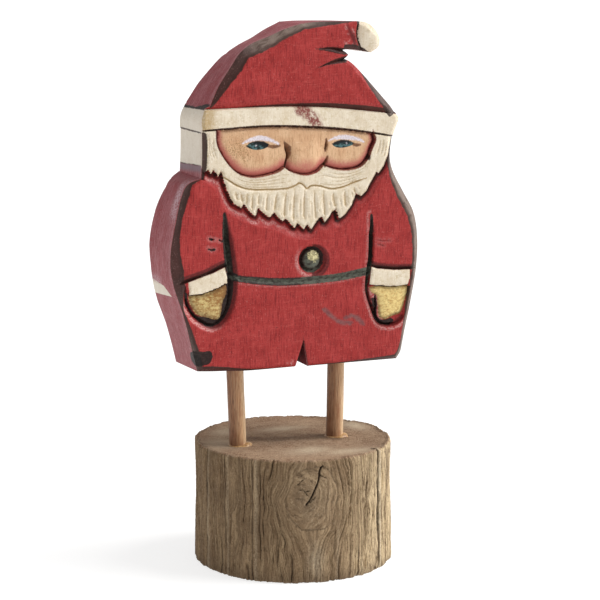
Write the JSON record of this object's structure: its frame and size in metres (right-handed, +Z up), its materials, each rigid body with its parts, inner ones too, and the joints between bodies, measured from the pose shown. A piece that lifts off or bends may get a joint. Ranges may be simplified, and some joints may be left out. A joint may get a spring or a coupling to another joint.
{
  "type": "carved santa figure",
  "caption": "Carved and painted wooden Santa with a bent-tipped hat and ragged beard, standing on dowel legs in a weathered slice of log.",
  "frame": {"origin": "middle of the log slice's underside, on the surface that it stands on", "axes": "+Z up through the log to the hat's top, -Y out of the carved front, +X towards the hat's hanging tip"},
  "size_m": [0.1443, 0.1114, 0.2971],
  "materials": {
    "painted_wood": "satin hand-brushed paint, worn at the edges",
    "dowel_wood": "stained and waxed",
    "log_wood": "weathered, bare"
  },
  "bodies": {
    "root": {"carved_figure": "painted_wood", "left_leg_dowel": "dowel_wood", "right_leg_dowel": "dowel_wood", "log_base": "log_wood"}
  },
  "joints": []
}
